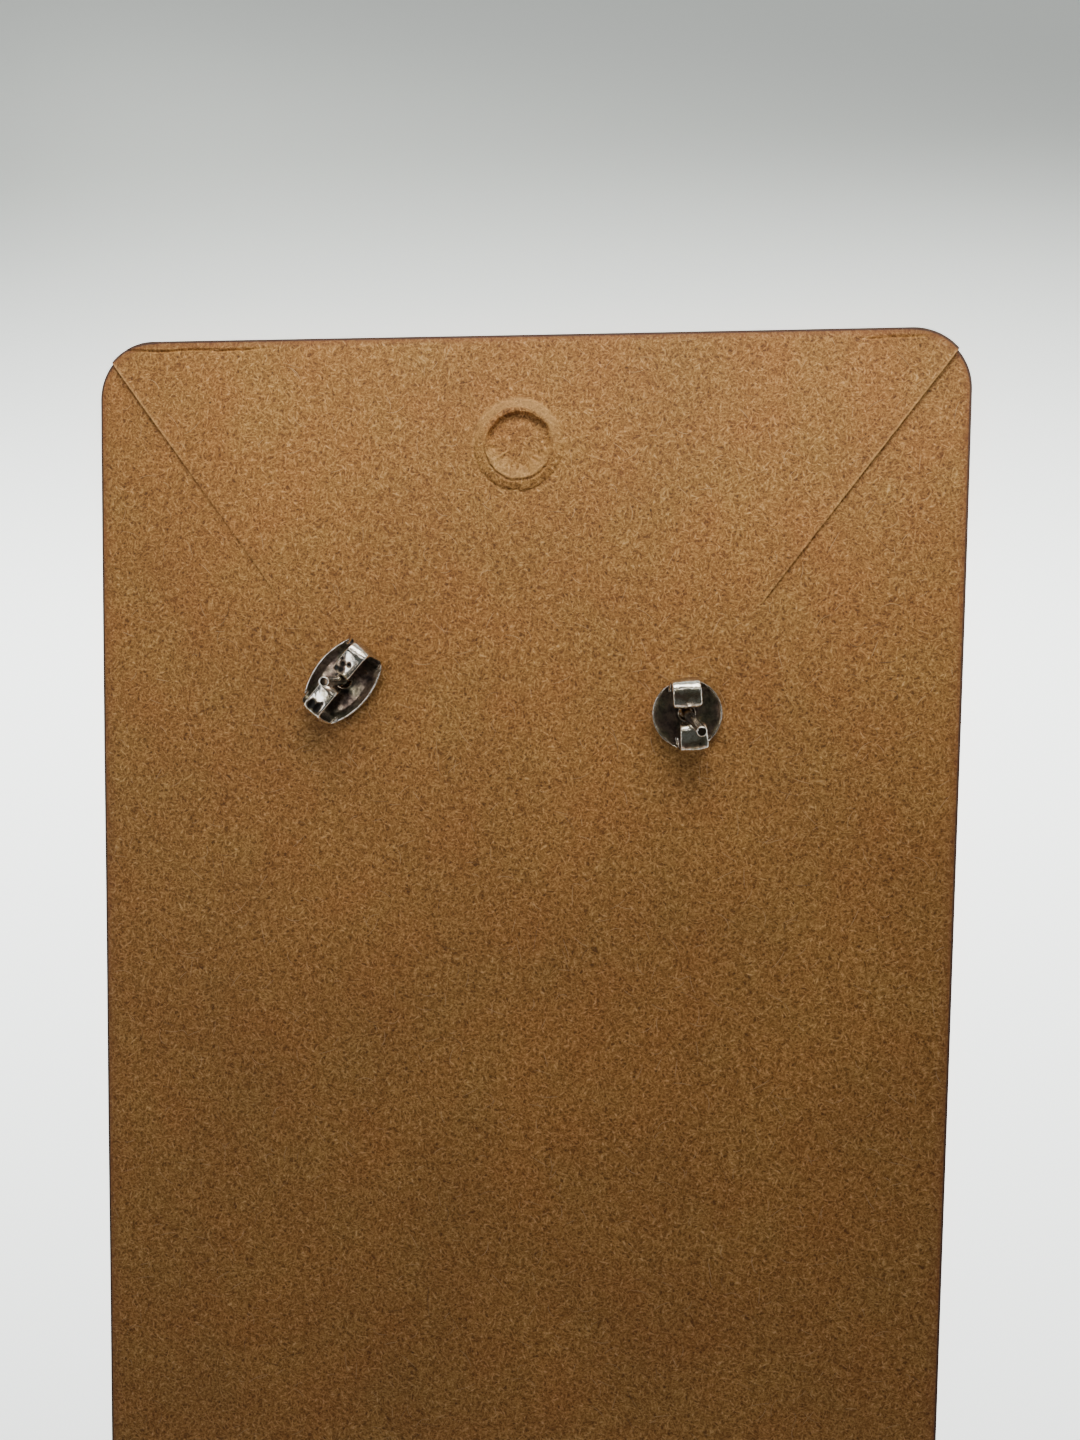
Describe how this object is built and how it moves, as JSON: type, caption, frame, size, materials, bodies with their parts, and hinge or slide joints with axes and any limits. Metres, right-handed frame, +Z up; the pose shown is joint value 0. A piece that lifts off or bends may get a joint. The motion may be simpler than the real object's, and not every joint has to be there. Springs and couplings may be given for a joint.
{
  "type": "pair of stud earrings on a display card",
  "caption": "Silver stud earrings with plain domed heads, posts through a kraft board card with cut corners and a hang hole, and butterfly clutches of two makes on its back.",
  "frame": {"origin": "under the middle of the card as it lies face down, on the surface it rests on", "axes": "+Y along the card towards its hang hole, +Z up out of the card's back, +X to the right"},
  "size_m": [0.06, 0.09, 0.0086],
  "materials": {
    "kraft_card": "uncoated brown kraft board, fibrous",
    "stud_silver": "polished silver",
    "clutch_silver": "polished silver sheet, tarnished"
  },
  "bodies": {
    "carded_studs": {"card": "kraft_card", "left_stud": "stud_silver", "right_stud": "stud_silver"},
    "left_clutch": {"left_clutch": "clutch_silver"},
    "right_clutch": {"right_clutch": "clutch_silver"}
  },
  "joints": [
    {"name": "left_clutch_slide", "type": "slide", "parent": "carded_studs", "child": "left_clutch", "axis": [0.0732, -0.0122, 0.9972], "range_m": [0, 0.0075]},
    {"name": "right_clutch_slide", "type": "slide", "parent": "carded_studs", "child": "right_clutch", "axis": [0.1209, -0.1485, 0.9815], "range_m": [0, 0.0075]}
  ]
}
